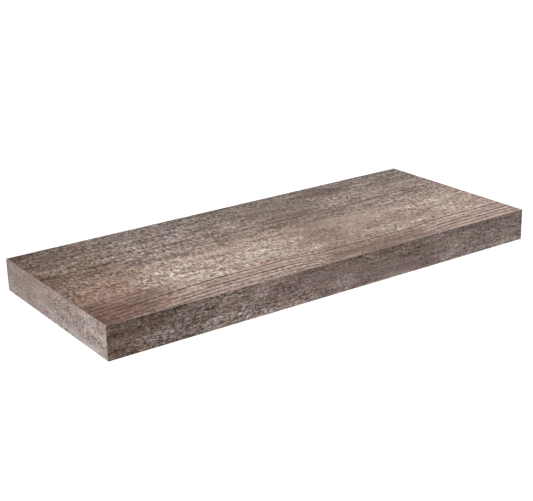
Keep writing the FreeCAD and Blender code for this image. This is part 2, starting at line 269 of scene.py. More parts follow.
floor_mesh = bpy.data.meshes.new("floor")
floor_level = cad_low.z - FLOOR_DROP
floor_corners = [
    (x * FLOOR_HALF_SIZE, y * FLOOR_HALF_SIZE, floor_level) for x, y in ((-1, -1), (1, -1), (1, 1), (-1, 1))
]
floor_mesh.from_pydata(floor_corners, [], [(0, 1, 2, 3)])
floor_mesh.materials.append(floor_material)
floor = new_object("floor", floor_mesh)


def add_soft_lamp(name, toward_lamp, level):
    """A broad lamp far away; a white surface square to it gets level from it."""
    lamp_data = bpy.data.lights.new(name, "SUN")
    lamp_data.energy = level * math.pi
    lamp_data.angle = LAMP_SPREAD
    lamp = new_object(name, lamp_data)
    lamp.rotation_euler = toward_lamp.to_track_quat("Z", "Y").to_euler()


add_soft_lamp("key_lamp", KEY_FROM, KEY_LEVEL)
add_soft_lamp("fill_lamp", FILL_FROM, FILL_LEVEL)


# Steel strip: a flat bar with rounded corners and countersunk holes, zinc plated after welding.
# It is screwed to the wall and carries the two rods.
ZINC_RUB = (0.56, 0.56, 0.56, 1.0)
ZINC_LOOK = {
    "bloom size": 0.045,
    "grain size": (0.020, 0.00035, 0.00035),
    "dull": (0.29, 0.30, 0.32, 1.0),
    "bright": (0.38, 0.39, 0.41, 1.0),
    "rub": (0.0006, 0.6, ZINC_RUB),
    "roughness": (0.46, 0.30, "LINEAR"),
    "scratch roughness": 0.10,
    "relief": (0.5, 0.00004),
}
WELD_STAIN = (0.20, 0.18, 0.16, 1.0)
WELD_STAIN_SHARES = (0.0125, 0.022, 0.65, 0.0)
WELD_STAIN_RAG = 0.006
WELD_STAIN_RAG_SIZE = (0.004, 0.004, 0.004)
rod_low, rod_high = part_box("rod_right")
ROD_HALF_SPACING = (rod_low.x + rod_high.x) / 2
CLOUD_RANGE = (0.35, 0.65)
ORIGIN = (0.0, 0.0, 0.0)
EVEN = (1.0, 1.0, 1.0)


def share_group(name, inputs, outputs):
    """Starts a shader group with named sockets, each given by a number, a vector or a colour."""
    tree = bpy.data.node_groups.new(name, "ShaderNodeTree")
    for way, sockets in (("INPUT", inputs), ("OUTPUT", outputs)):
        for label, value in sockets.items():
            kind = "Float" if isinstance(value, float) else "Vector" if len(value) == 3 else "Color"
            socket = tree.interface.new_socket(label, in_out=way, socket_type="NodeSocket" + kind)
            socket.default_value = value
    given = tree.nodes.new("NodeGroupInput").outputs
    wanted = tree.nodes.new("NodeGroupOutput").inputs
    return tree, Finish(tree), given, wanted


# Edge rub: a mask that is 1 on an edge and fades within the rub's width, broken up by fine noise.
RUB_SPOT_SIZE = (0.0018, 0.0018, 0.0018)
RUB_BEND = 0.93
RUB_SAMPLES = 6
edge_rub, rubbing, rub_given, rub_wanted = share_group(
    "edge rub", {"Width": 0.0005, "Break up": 0.5}, {"Rub": 0.0}
)
rounded = rubbing.add("ShaderNodeBevel", {"Radius": rub_given["Width"]}, samples=RUB_SAMPLES)
true_face = rubbing.add("ShaderNodeNewGeometry", output="Normal")
bend = rubbing.vector("DOT_PRODUCT", rounded, true_face, output="Value")
rub_spots = rubbing.noise(rubbing.place(), RUB_SPOT_SIZE, detail=2.0)
rub_loss = rubbing.times(rub_spots, rub_given["Break up"])
rub_left = rubbing.minus(rubbing.remap(bend, 1.0, RUB_BEND), rub_loss)
rubbing.feed(rub_wanted["Rub"], rubbing.math("MAXIMUM", rub_left, 0.0))

# Handling marks: long fine scratches and cloudy bloom, as on any plated or turned steel part.
handling, marks, marks_given, marks_wanted = share_group(
    "handling marks",
    {"Place": ORIGIN, "Bloom size": 0.04, "Grain": EVEN},
    {"Bloom": 0.0, "Scratches": 0.0},
)
bloom_counts = marks.math("DIVIDE", 1.0, marks_given["Bloom size"])
bloom = marks.speckle(marks.vector("MULTIPLY", marks_given["Place"], bloom_counts), detail=4.0)
scratches = marks.speckle(marks.vector("MULTIPLY", marks_given["Place"], marks_given["Grain"]), detail=2.0)
marks.feed(marks_wanted["Bloom"], marks.remap(bloom, *CLOUD_RANGE))
marks.feed(marks_wanted["Scratches"], marks.remap(scratches, *CLOUD_RANGE, shape="LINEAR"))


def steel_finish(name, look, stain_place=None):
    """Cloudy, finely marked steel. A look's rub is its width, how broken up it is and its colour."""
    material, finish = new_material(name)
    place = finish.place()
    marked = finish.group(handling, {
        "Place": place,
        "Bloom size": look["bloom size"],
        "Grain": spot_counts(look["grain size"]),
    })
    colour = finish.mix(marked["Bloom"], look["dull"], look["bright"])
    if "rub" in look:
        width, break_up, rubbed = look["rub"]
        rub = finish.group(edge_rub, {"Width": width, "Break up": break_up})["Rub"]
        colour = finish.mix(rub, colour, rubbed)
    if stain_place:
        colour = finish.mix(stain_place(finish, place), colour, WELD_STAIN)
    roughness = finish.remap(marked["Bloom"], 0.0, 1.0, *look["roughness"])
    if "scratch roughness" in look:
        roughness = finish.math("MULTIPLY_ADD", marked["Scratches"], look["scratch roughness"], roughness)
    finish.surface({
        "Base Color": colour,
        "Metallic": 1.0,
        "Roughness": roughness,
        "Normal": finish.relief(marked["Scratches"], *look["relief"]),
    })
    return material


def heat_ring(finish, place):
    """A dull ring on the strip round each weld, where the flux was brushed off."""
    axes = finish.axes(place)
    aside = finish.minus(finish.math("ABSOLUTE", axes["X"]), ROD_HALF_SPACING)
    across = finish.math("POWER", aside, 2.0)
    upward = finish.math("POWER", axes["Z"], 2.0)
    distance = finish.math("SQRT", finish.math("ADD", across, upward))
    smoke = finish.noise(place, WELD_STAIN_RAG_SIZE, detail=3.0)
    ragged = finish.math("MULTIPLY_ADD", smoke, WELD_STAIN_RAG, distance)
    return finish.remap(ragged, *WELD_STAIN_SHARES)


def finish_node(node, material):
    """Gives a CAD node its material."""
    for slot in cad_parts[node].material_slots:
        slot.material = material


finish_node("wall_plate", steel_finish("zinc_strip", ZINC_LOOK, heat_ring))


# Rods: drawn round bar, welded to the strip and zinc plated with it, chamfered at the tip.
# The board slides on them, and its blocks have rubbed faint bright lines along them.
ROD_LOOK = {**ZINC_LOOK, "grain size": (0.00035, 0.030, 0.00035)}
rod_material = steel_finish("zinc_rod", ROD_LOOK)
for side in ("left", "right"):
    finish_node(f"rod_{side}", rod_material)


# Weld beads: one fillet weld round the foot of each rod, laid by hand, with a ripple for each pause.
# Each is one closed ring whose face bulges between the ripples.
BEAD_SIZES = {"Ripples": 34.0, "Ripple depth": 0.09}
BEAD_STEPS = 170
BEAD_ARC_STEPS = 7
BEAD_CREST = math.radians(45.0)
BEAD_CURL = 1.5
BEAD_WANDER = 0.6
BEAD_WANDER_SIZE = 0.005
BEAD_CORNER = math.radians(50.0)
WELD_LOOK = {
    "bloom size": 0.004,
    "grain size": (0.0006, 0.0006, 0.0006),
    "dull": (0.22, 0.215, 0.21, 1.0),
    "bright": (0.34, 0.345, 0.36, 1.0),
    "roughness": (0.62, 0.42),
    "relief": (0.4, 0.0001),
}


class Shaper(NodeMaker):
    """A Geometry Nodes tree whose inputs are named sizes and counts, a foot to stand on and a finish."""

    def __init__(self, name, sizes, counts=()):
        super().__init__(bpy.data.node_groups.new(name, "GeometryNodeTree"))
        kinds = {**dict.fromkeys(sizes, "Float"), **dict.fromkeys(counts, "Int")}
        kinds.update({"Foot": "Vector", "Finish": "Material"})
        for label, kind in kinds.items():
            self.tree.interface.new_socket(label, in_out="INPUT", socket_type="NodeSocket" + kind)
        self.tree.interface.new_socket("Geometry", in_out="OUTPUT", socket_type="NodeSocketGeometry")
        self.given = self.tree.nodes.new("NodeGroupInput").outputs

    def finish(self, geometry, turn=(0.0, 0.0, 0.0)):
        """Ends the tree: the shape stands on its foot, its copies are real and it has its material."""
        move = {"Geometry": geometry, "Translation": self.given["Foot"], "Rotation": turn}
        standing = self.add("GeometryNodeTransform", move)
        real = self.add("GeometryNodeRealizeInstances", {"Geometry": standing})
        painted = self.add("GeometryNodeSetMaterial", {"Geometry": real, "Material": self.given["Finish"]})
        self.node("NodeGroupOutput", {"Geometry": painted})


def make_shape(name, tree, sizes):
    """Runs a tree once with these sizes and keeps the result as a plain mesh."""
    piece = new_object(name, bpy.data.meshes.new(name))
    modifier = piece.modifiers.new("shape", "NODES")
    modifier.node_group = tree
    for socket in tree.interface.items_tree:
        if socket.in_out == "INPUT":
            modifier[socket.identifier] = sizes[socket.name]
    bpy.context.view_layer.update()
    made = piece.evaluated_get(bpy.context.evaluated_depsgraph_get())
    solid = bpy.data.meshes.new_from_object(made)
    piece.modifiers.remove(modifier)
    piece.data = solid
    return piece


bead = Shaper("weld bead", (*BEAD_SIZES, "Rod radius", "Leg"))
rod_radius = bead.given["Rod radius"]
bead_path = bead.add("GeometryNodeCurvePrimitiveCircle", {"Resolution": BEAD_STEPS, "Radius": rod_radius})
bead_section = bead.add("GeometryNodeCurveArc", {
    "Resolution": BEAD_ARC_STEPS,
    "Radius": bead.given["Leg"],
    "Start Angle": 0.0,
    "Sweep Angle": QUARTER_TURN,
    "Connect Center": True,
})
bead_ring = bead.add("GeometryNodeCurveToMesh", {"Curve": bead_path, "Profile Curve": bead_section})
bead_place = bead.add("GeometryNodeInputPosition")
bead_axes = bead.axes(bead_place)
bead_flat = bead.combine(bead_axes["X"], bead_axes["Y"])
bead_reach = bead.vector("LENGTH", bead_flat, output="Value")
bead_out = bead.minus(bead_reach, rod_radius)
bead_turn = bead.math("ARCTAN2", bead_axes["Y"], bead_axes["X"])
bead_lean = bead.math("ARCTAN2", bead.math("ABSOLUTE", bead_axes["Z"]), bead_out)
bead_curl = bead.times(bead.math("POWER", bead.minus(bead_lean, BEAD_CREST), 2.0), BEAD_CURL)
bead_noise = bead.add("ShaderNodeTexNoise", {"Vector": bead_place, "Scale": 1.0 / BEAD_WANDER_SIZE})
bead_drift = bead.times(bead_noise, BEAD_WANDER * 2 * math.pi)
bead_phase = bead.math("MULTIPLY_ADD", bead_turn, bead.given["Ripples"], bead_curl)
bead_wave = bead.math("SINE", bead.math("ADD", bead_phase, bead_drift))
bead_dip = bead.times(bead.math("MULTIPLY_ADD", bead_wave, 0.5, 0.5), bead.given["Ripple depth"])
bead_scale = bead.minus(1.0, bead_dip)
new_reach = bead.math("MULTIPLY_ADD", bead_out, bead_scale, rod_radius)
outward = bead.math("DIVIDE", new_reach, bead_reach)
new_place = bead.vector("MULTIPLY", bead_place, bead.combine(outward, outward, bead_scale))
rippled = bead.add("GeometryNodeSetPosition", {"Geometry": bead_ring, "Position": new_place})
smooth_ring = bead.add("GeometryNodeSetShadeSmooth", {"Geometry": rippled})
bead_fold = bead.add("GeometryNodeInputMeshEdgeAngle", output="Unsigned Angle")
creased_ring = bead.add("GeometryNodeSetShadeSmooth", {
    "Geometry": smooth_ring,
    "Selection": bead.math("GREATER_THAN", bead_fold, BEAD_CORNER),
    "Shade Smooth": False,
}, domain="EDGE")
bead.finish(creased_ring, turn=(-QUARTER_TURN, 0.0, 0.0))

weld_material = steel_finish("weld_metal", WELD_LOOK)
for side in ("left", "right"):
    bead_low, bead_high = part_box(f"weld_bead_{side}")
    rod_low, rod_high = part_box(f"rod_{side}")
    ripple_bead = make_shape(f"rippled_bead_{side}", bead.tree, {
        **BEAD_SIZES,
        "Rod radius": (rod_high.x - rod_low.x) / 2,
        "Leg": bead_high.y - bead_low.y,
        "Foot": Vector(((rod_low.x + rod_high.x) / 2, bead_high.y, 0.0)),
        "Finish": weld_material,
    })
    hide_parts(f"weld_bead_{side}")
    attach(ripple_bead, "wall_bracket")


# Chipboard frame: rails and rod blocks sawn from chipboard and glued between the skins.
# Sawn edges show the chips lying flat, one over another, with dark gaps and resin between them.
CHIP_SIZE = (0.0042, 0.0042, 0.0009)
CHIP_PALE = (0.64, 0.48, 0.31, 1.0)
CHIP_MID = (0.48, 0.34, 0.20, 1.0)
CHIP_DARK = (0.23, 0.14, 0.08, 1.0)
CHIP_STOPS = [(0.0, CHIP_DARK), (0.22, CHIP_MID), (0.55, CHIP_PALE), (0.85, CHIP_PALE), (1.0, CHIP_MID)]
CHIP_GAP = (0.09, 0.055, 0.03, 1.0)
CHIP_GAP_STRENGTH = 0.7
CHIP_GAP_SHARES = (0.02, 0.10, 1.0, 0.0)
CHIP_FIBRE_SIZE = (0.0012, 0.0012, 0.00018)
CHIP_FIBRE_SHADE = (0.72, 0.70, 0.68, 1.0)
CHIP_ROUGHNESS = (0.72, 0.95)
CHIP_SHINE = 0.3
CHIP_RELIEF = (0.6, 0.00025)
FIBRE_RANGE = (0.30, 0.70)

# Pressed fibre: the short fibres that show in chips, paper and fibreboard, each at its own scale.
pressed_fibre, fibre, fibre_given, fibre_wanted = share_group(
    "pressed fibre",
    {"Place": ORIGIN, "Counts": EVEN, "Pale": CHIP_PALE, "Dark": CHIP_DARK},
    {"Colour": CHIP_PALE, "Height": 0.0},
)
fibre_place = fibre.vector("MULTIPLY", fibre_given["Place"], fibre_given["Counts"])
fibre_share = fibre.remap(fibre.speckle(fibre_place, detail=3.0, roughness=0.6), *FIBRE_RANGE)
fibre_colour = fibre.mix(fibre_share, fibre_given["Dark"], fibre_given["Pale"])
fibre.feed(fibre_wanted["Colour"], fibre_colour)
fibre.feed(fibre_wanted["Height"], fibre_share)


def pressed_fibres(finish, place, size, pale, dark):
    """The fibres' colour and height at that scale."""
    counts = spot_counts(size)
    return finish.group(pressed_fibre, {"Place": place, "Counts": counts, "Pale": pale, "Dark": dark})


chipboard, chip = new_material("chipboard")
chip_place = chip.place()
chip_counts = chip.counted(chip_place, CHIP_SIZE)
chip_tone = chip.cells(chip_counts)[0]
chip_edges = chip.add(
    "ShaderNodeTexVoronoi", {"Vector": chip_counts, "Scale": 1.0}, feature="DISTANCE_TO_EDGE"
)
chip_fibres = pressed_fibres(chip, chip_place, CHIP_FIBRE_SIZE, WHITE, CHIP_FIBRE_SHADE)
chip_colour = chip.mix(1.0, chip.ramp(chip_tone, CHIP_STOPS), chip_fibres["Colour"], "MULTIPLY")
chip_gap = chip.remap(chip_edges, *CHIP_GAP_SHARES)
chip_height = chip.minus(chip_fibres["Height"], chip_gap)
chip.surface({
    "Base Color": chip.mix(chip.times(chip_gap, CHIP_GAP_STRENGTH), chip_colour, CHIP_GAP),
    "Roughness": chip.remap(chip_gap, 0.0, 1.0, *CHIP_ROUGHNESS),
    "Specular IOR Level": CHIP_SHINE,
    "Normal": chip.relief(chip_height, *CHIP_RELIEF),
})
for node in (
    "front_rail", "back_rail", "end_rail_left", "end_rail_right", "rod_block_left", "rod_block_right"
):
    finish_node(node, chipboard)


# Paper core: kraft paper ribbons glued in a staggered pattern and pulled open into six-sided cells.
# It fills the bays and is sealed in when the skins are pressed on.
KRAFT_PALE = (0.50, 0.36, 0.22, 1.0)
KRAFT_DARK = (0.36, 0.24, 0.13, 1.0)
KRAFT_FIBRE_SIZE = (0.0018, 0.0018, 0.0006)
KRAFT_ROUGHNESS = (0.95, 0.85)
KRAFT_SHINE = 0.2
KRAFT_RELIEF = (0.3, 0.0001)
kraft_paper, kraft = new_material("kraft_paper")
kraft_fibres = pressed_fibres(kraft, kraft.place(), KRAFT_FIBRE_SIZE, KRAFT_PALE, KRAFT_DARK)
kraft.surface({
    "Base Color": kraft_fibres["Colour"],
    "Roughness": kraft.remap(kraft_fibres["Height"], 0.0, 1.0, *KRAFT_ROUGHNESS),
    "Specular IOR Level": KRAFT_SHINE,
    "Normal": kraft.relief(kraft_fibres["Height"], *KRAFT_RELIEF),
})
for bay in ("left", "centre", "right"):
    finish_node(f"paper_core_{bay}", kraft_paper)


# Skins: thin hard fibreboard with a printed driftwood film 0.15 mm thick pressed on the outer face.
# The print is sawn oak, grey-brown at the back and sandy further forward, with fine rings at the front.
FILM_SHARES = (0.000135, 0.000165, 1.0, 0.0)
BOARD_PALE = (0.30, 0.19, 0.11, 1.0)
BOARD_DARK = (0.20, 0.12, 0.065, 1.0)
BOARD_FIBRE_SIZE = (0.0009, 0.0009, 0.00012)
BOARD_ROUGHNESS = (0.85, 0.85, 0.85, 1.0)
PRINT_ROUGHNESS = (0.2, 0.9, 0.62, 0.50)
PRINT_SHINE = 0.08
PRINT_RELIEF = (0.25, 0.0002)
board_depth = cad_high.y - cad_low.y


def paint(red, green, blue):
    """A colour as read off a screen, from 0 to 255, as Blender's linear colour."""
    levels = []
    for value in (red, green, blue):
        share = value / 255
        levels.append(share / 12.92 if share <= 0.04045 else ((share + 0.055) / 1.055) ** 2.4)
    return (*levels, 1.0)


# Soft patch: a mask that is 1 in the middle of an oval and fades raggedly to 0 at its rim.
PATCH_RAG_SIZE = (0.030, 0.011, 0.011)
PATCH_RAGGEDNESS = 1.2
PATCH_FADE = (1.15, 0.35)
soft_patch, patch, patch_given, patch_wanted = share_group(
    "soft patch", {"Place": ORIGIN, "Centre": ORIGIN, "Half size": EVEN}, {"Mask": 0.0}
)
from_centre = patch.vector("SUBTRACT", patch_given["Place"], patch_given["Centre"])
in_halves = patch.vector("DIVIDE", from_centre, patch_given["Half size"])
patch_reach = patch.vector("LENGTH", in_halves, output="Value")
patch_rag = patch.minus(patch.noise(patch_given["Place"], PATCH_RAG_SIZE, shift=3.7, detail=2.0), 0.5)
patch_edge = patch.math("MULTIPLY_ADD", patch_rag, PATCH_RAGGEDNESS, patch_reach)
patch.feed(patch_wanted["Mask"], patch.remap(patch_edge, *PATCH_FADE))

# Sawn grain: the rough-sawn surface that the print shows, in board directions: along the grain,
# across it, and a third number that picks another piece of wood. Grain runs from about -1 to 1.
WAVER_SIZE = (0.060, 0.022, 1.0)
STREAK_SIZE = (0.0075, 0.0030, 1.0)
STREAK_CURL = 0.25
STREAK_HALF_RANGE = 0.16
LINE_SIZE = (0.060, 0.0030, 1.0)
LINE_HALF_RANGE = 0.18
SAW_MARK_SIZE = (0.0016, 0.0120, 1.0)
FIBRE_STREAK_SIZE = (0.0060, 0.0007, 1.0)
FINE_FIBRE_SIZE = (0.0110, 0.00032, 1.0)
PORE_SIZE = (0.0038, 0.00028, 1.0)
PORE_RANGE = (0.585, 0.645)
FINE_SAW_SIZE = (0.00045, 0.0070, 1.0)
LIGHT_FLECK_SIZE = (0.0060, 0.0024, 1.0)
DARK_FLECK_SIZE = (0.0065, 0.0022, 1.0)
FLECK_FADE = (0.50, 0.22)
FLECKED_CELL_SHARE = 0.35
BLOTCH_SIZE = (0.038, 0.011, 1.0)
CALM_SIZE = (0.060, 0.026, 1.0)
CALM_SHARES = (0.35, 0.60, 0.70, 1.15)
WARMTH_SIZE = (0.028, 0.012, 1.0)
STREAK_SHARE = 0.52
FIBRE_SHARE = 0.14
FINE_FIBRE_SHARE = 0.34
PORE_SHARE = 0.60
PORE_COVER_SHARE = 0.09
FINE_SAW_SHARE = 0.08
SAW_MARK_SHARE = 0.10
FLECK_SHARE = 0.26
BLOTCH_SHARE = 0.20
sawn_grain, sawn, sawn_given, sawn_wanted = share_group(
    "sawn grain",
    {"Place": ORIGIN, "Coarseness": EVEN, "Waver": 0.004, "Lines": 0.2},
    {"Grain": 0.0, "Height": 0.0, "Warmth": 0.0, "Straw": 0.0},
)
on_board = sawn_given["Place"]
waver_noise = sawn.noise(on_board, WAVER_SIZE, shift=1.3)
waver = sawn.times(sawn.minus(waver_noise, 0.5), sawn_given["Waver"])
wavered = sawn.vector("ADD", on_board, sawn.combine(y=waver))
grain_way = sawn.vector("DIVIDE", wavered, sawn_given["Coarseness"])


def layer(place, size, shift, detail=2.0, roughness=0.5, curl=0.0, half_range=0.20):
    """One layer of the grain: noise near 0.5, spread out to run from -1 to 1."""
    cloud = sawn.noise(place, size, shift, detail, roughness, curl)
    return sawn.remap(cloud, 0.5 - half_range, 0.5 + half_range, -1.0, 1.0, "LINEAR")


def flecks(size, shift):
    """A mask of short torn fibres, one in each flecked cell of that size."""
    picked, distance = sawn.cells(sawn.counted(grain_way, size, shift))
    flecked = sawn.math("LESS_THAN", picked, FLECKED_CELL_SHARE)
    return sawn.times(sawn.remap(distance, *FLECK_FADE), flecked)


streaks = layer(
    grain_way, STREAK_SIZE, 5.1, detail=4.0, roughness=0.80, curl=STREAK_CURL, half_range=STREAK_HALF_RANGE
)
pore_marks = sawn.remap(sawn.noise(wavered, PORE_SIZE, shift=8.7), *PORE_RANGE)
grain_layers = [
    (streaks, STREAK_SHARE),
    (layer(grain_way, FIBRE_STREAK_SIZE, 2.9), FIBRE_SHARE),
    (layer(wavered, FINE_FIBRE_SIZE, 3.9, detail=3.0, roughness=0.65), FINE_FIBRE_SHARE),
    (layer(on_board, FINE_SAW_SIZE, 6.1), FINE_SAW_SHARE),
    (sawn.minus(pore_marks, PORE_COVER_SHARE), -PORE_SHARE),
    (layer(on_board, SAW_MARK_SIZE, 7.7), SAW_MARK_SHARE),
    (layer(grain_way, LINE_SIZE, 9.3, roughness=0.6, half_range=LINE_HALF_RANGE), sawn_given["Lines"]),
    (flecks(LIGHT_FLECK_SIZE, 12.3), FLECK_SHARE),
    (flecks(DARK_FLECK_SIZE, 17.9), -FLECK_SHARE),
]
grain_sum = 0.0
for layer_grain, layer_share in grain_layers:
    grain_sum = sawn.math("MULTIPLY_ADD", layer_grain, layer_share, grain_sum)
calm = sawn.remap(sawn.noise(on_board, CALM_SIZE, shift=21.1, detail=2.0), *CALM_SHARES)
grain_sum = sawn.times(grain_sum, calm)
grain_sum = sawn.math("MULTIPLY_ADD", layer(on_board, BLOTCH_SIZE, 13.1), BLOTCH_SHARE, grain_sum)
sawn.feed(sawn_wanted["Grain"], grain_sum)
sawn.feed(sawn_wanted["Height"], sawn.math("MULTIPLY_ADD", grain_sum, 0.5, 0.5))
for output, shift in (("Warmth", 31.0), ("Straw", 37.0)):
    cloud = sawn.noise(on_board, WARMTH_SIZE, shift, detail=2.0)
    sawn.feed(sawn_wanted[output], sawn.remap(cloud, *CLOUD_RANGE))

# The print fades from dark grain to light grain as the eye sees it, so a shade is raised to these
# powers for red, green and blue light: dark grain comes out a little browner than light grain.
SHADE_POWERS = {"Red": 1.91, "Green": 2.20, "Blue": 2.38}
WARM_TINT = (1.03, 0.985, 0.96, 1.0)
COOL_TINT = (0.97, 1.01, 1.02, 1.0)
STRAW_TINT = (1.0, 1.0, 0.95, 1.0)
ROSE_TINT = (1.0, 0.99, 1.04, 1.0)
DARKEST_SHADE = 0.35
RIM_REACH = 0.0055


def driftwood_print(finish, along, across, wood, look, rings=None):
    """The colour and relief height of one printed face; look holds its zones, patches and contrast."""
    way = finish.combine(along, across, wood)
    grain = finish.group(sawn_grain, {
        "Place": way,
        "Coarseness": look["coarseness"],
        "Waver": look["waver"],
        "Lines": look["lines"],
    })
    drift = finish.minus(finish.noise(way, look["drift size"], shift=61.0, detail=2.0), 0.5)
    drifted = finish.math("MULTIPLY_ADD", drift, look["drift"], across)
    along_share = finish.remap(along, *look["along range"], shape="LINEAR")
    across_share = finish.remap(drifted, *look["across range"], shape="LINEAR")
    colour = finish.ramp(across_share, look["across stops"])
    colour = finish.mix(1.0, colour, finish.ramp(along_share, look["along stops"]), "MULTIPLY")
    bold_along = finish.remap(along_share, *look["boldness along"])
    bold_across = finish.remap(across_share, *look["boldness across"])
    boldness = finish.times(bold_along, look["contrast"], bold_across)
    for centre, half_size, screen_colour, strength, calming in look["patches"]:
        oval = {"Place": way, "Centre": (*centre, wood), "Half size": (*half_size, 1.0)}
        mask = finish.group(soft_patch, oval)["Mask"]
        colour = finish.mix(finish.times(mask, strength), colour, paint(*screen_colour))
        left = finish.remap(mask, 0.0, 1.0, 1.0, 1.0 - calming, "LINEAR")
        boldness = finish.times(boldness, left)
    colour = finish.mix(1.0, colour, finish.mix(grain["Warmth"], COOL_TINT, WARM_TINT), "MULTIPLY")
    colour = finish.mix(1.0, colour, finish.mix(grain["Straw"], ROSE_TINT, STRAW_TINT), "MULTIPLY")

    ring = 0.0
    if rings:
        ring, boldness = rings(finish, along, across, way, boldness)
    shade = finish.math("ADD", finish.math("MULTIPLY_ADD", grain["Grain"], boldness, 1.0), ring)
    for measured, edge, depth in look["rims"]:
        from_edge = finish.apart(along if measured == "along" else across, edge)
        rim = finish.remap(from_edge, 0.0, RIM_REACH, depth, 0.0, "LINEAR")
        shade = finish.minus(shade, rim)
    shade = finish.math("MAXIMUM", shade, DARKEST_SHADE)
    light = finish.add("ShaderNodeCombineColor", {
        channel: finish.math("POWER", shade, power) for channel, power in SHADE_POWERS.items()
    })
    return finish.mix(1.0, colour, light, "MULTIPLY"), grain["Height"]


# Growth rings: five fine dark lines near the front, each a little weaker than the one behind it and
# the second hardly there. They bow forward past the middle. At the left end they sweep forward, and
# three fainter lines lie behind the first.
RING_FIRST = 0.2084
RING_SPACING = 0.0084
RING_WIDTH = 0.0040
RING_LINE = 0.60
RING_LIGHT = 0.35
RING_LAST = 10.0
RING_LAST_IN_BOW = 3.0
RING_SECOND_SHARES = (0.35, 0.5, 0.2, 1.0)
RING_BEFORE_SHARES = (-0.6, -0.5, 0.60, 1.0)
RING_STARTS = (-0.23, -0.18, -3.5, -0.5)
RING_ZONE_EDGE = (-0.2, 0.1)
RING_LEFT_SHARES = (-0.23, -0.18, 0.60, 1.0)
RING_RIGHT_SHARES = (0.15, 0.20, 1.0, 1.10)
RING_FADE_SIZE = (0.045, 0.006, 1.0)
RING_FADE_SHARES = (0.34, 0.56, 0.70, 1.12)
RING_BOW = 0.0063
RING_BOW_START = (-0.055, 0.0)
RING_BOW_END = (0.195, 0.135)
RING_SWEEP = (-0.13, -0.33, 0.0, 0.0165)
RING_SWING = 0.0015
RING_SWING_SIZE = (0.11, 0.05, 1.0)
RING_CALM = 0.30
MIDDLE_RING = 0.0905
MIDDLE_SPACING = 0.0124
MIDDLE_WIDTH = 0.0034
MIDDLE_LINE = 0.33
MIDDLE_SWING = 0.010
MIDDLE_BESIDE_SHARES = (0.45, 0.5, 1.0, 0.35)
MIDDLE_REACH_SHARES = (1.3, 1.5, 1.0, 0.0)
MIDDLE_FADE_SHARES = (0.36, 0.54, 0.35, 1.1)


def ring_lines(finish, turns, width_share, line, light):
    """Dark lines where turns is a whole number, with lighter wood halfway to the next."""
    off_line = finish.apart(finish.math("ROUND", turns), turns)
    dark = finish.remap(off_line, 0.0, width_share, -line, 0.0)
    between = finish.math("SINE", finish.times(off_line, 2.0 * math.pi))
    return finish.math("MULTIPLY_ADD", between, light, dark)


def growth_rings(finish, along, across, way, boldness):
    """The rings' shade to add, and the grain's boldness, which is less between the rings."""
    swing = finish.minus(finish.noise(way, RING_SWING_SIZE, shift=41.0), 0.5)
    bow = finish.times(finish.remap(along, *RING_BOW_START), finish.remap(along, *RING_BOW_END))
    followed = finish.math("MULTIPLY_ADD", swing, -RING_SWING, across)
    followed = finish.math("MULTIPLY_ADD", bow, -RING_BOW, followed)
    followed = finish.minus(followed, finish.remap(along, *RING_SWEEP))
    turns = finish.math("DIVIDE", finish.minus(followed, RING_FIRST), RING_SPACING)

    last = finish.remap(bow, 0.0, 1.0, RING_LAST, RING_LAST_IN_BOW)
    strength = finish.minus(1.0, finish.math("DIVIDE", turns, last))
    strength = finish.math("MINIMUM", finish.math("MAXIMUM", strength, 0.0), 1.0)
    second = finish.remap(finish.apart(turns, 1.0), *RING_SECOND_SHARES)
    before = finish.remap(turns, *RING_BEFORE_SHARES)
    in_zone = finish.remap(finish.minus(turns, finish.remap(along, *RING_STARTS)), *RING_ZONE_EDGE)
    on_left = finish.remap(along, *RING_LEFT_SHARES)
    fade = finish.remap(finish.noise(way, RING_FADE_SIZE, shift=47.0, detail=2.0), *RING_FADE_SHARES)
    on_right = finish.remap(along, *RING_RIGHT_SHARES)
    strength = finish.times(strength, second, before, in_zone, on_left, fade, on_right)
    rings = ring_lines(finish, turns, RING_WIDTH / RING_SPACING, RING_LINE, RING_LIGHT)
    rings = finish.times(rings, strength)

    middle_place = finish.math("MULTIPLY_ADD", swing, -MIDDLE_SWING, across)
    middle = finish.math("DIVIDE", finish.minus(middle_place, MIDDLE_RING), MIDDLE_SPACING)
    off_middle = finish.math("ABSOLUTE", middle)
    broken = finish.remap(finish.noise(way, RING_FADE_SIZE, shift=53.0), *MIDDLE_FADE_SHARES)
    beside = finish.remap(off_middle, *MIDDLE_BESIDE_SHARES)
    reached = finish.remap(off_middle, *MIDDLE_REACH_SHARES)
    lines = ring_lines(finish, middle, MIDDLE_WIDTH / MIDDLE_SPACING, MIDDLE_LINE, 0.0)
    lines = finish.times(lines, broken, beside, reached)
    kept = finish.remap(in_zone, 0.0, 1.0, 1.0, 1.0 - RING_CALM, "LINEAR")
    return finish.math("ADD", rings, lines), finish.times(boldness, kept)


def driftwood_skin(name, outer_face, look, wood, rings=None):
    """A fibreboard skin whose outer face, up or down, carries the print."""
    material, finish = new_material(name)
    place = finish.place()
    axes = finish.axes(place)
    from_back = finish.times(axes["Y"], -1.0)
    printed, print_height = driftwood_print(finish, axes["X"], from_back, wood, look, rings)
    board = pressed_fibres(finish, place, BOARD_FIBRE_SIZE, BOARD_PALE, BOARD_DARK)
    film = finish.remap(finish.apart(axes["Z"], outer_face), *FILM_SHARES)
    gloss = finish.remap(print_height, *PRINT_ROUGHNESS)
    finish.surface({
        "Base Color": finish.mix(film, board["Colour"], printed),
        "Roughness": finish.mix(film, BOARD_ROUGHNESS, gloss),
        "Specular IOR Level": PRINT_SHINE,
        "Normal": finish.relief(finish.mix(film, board["Height"], print_height), *PRINT_RELIEF),
    })
    return material


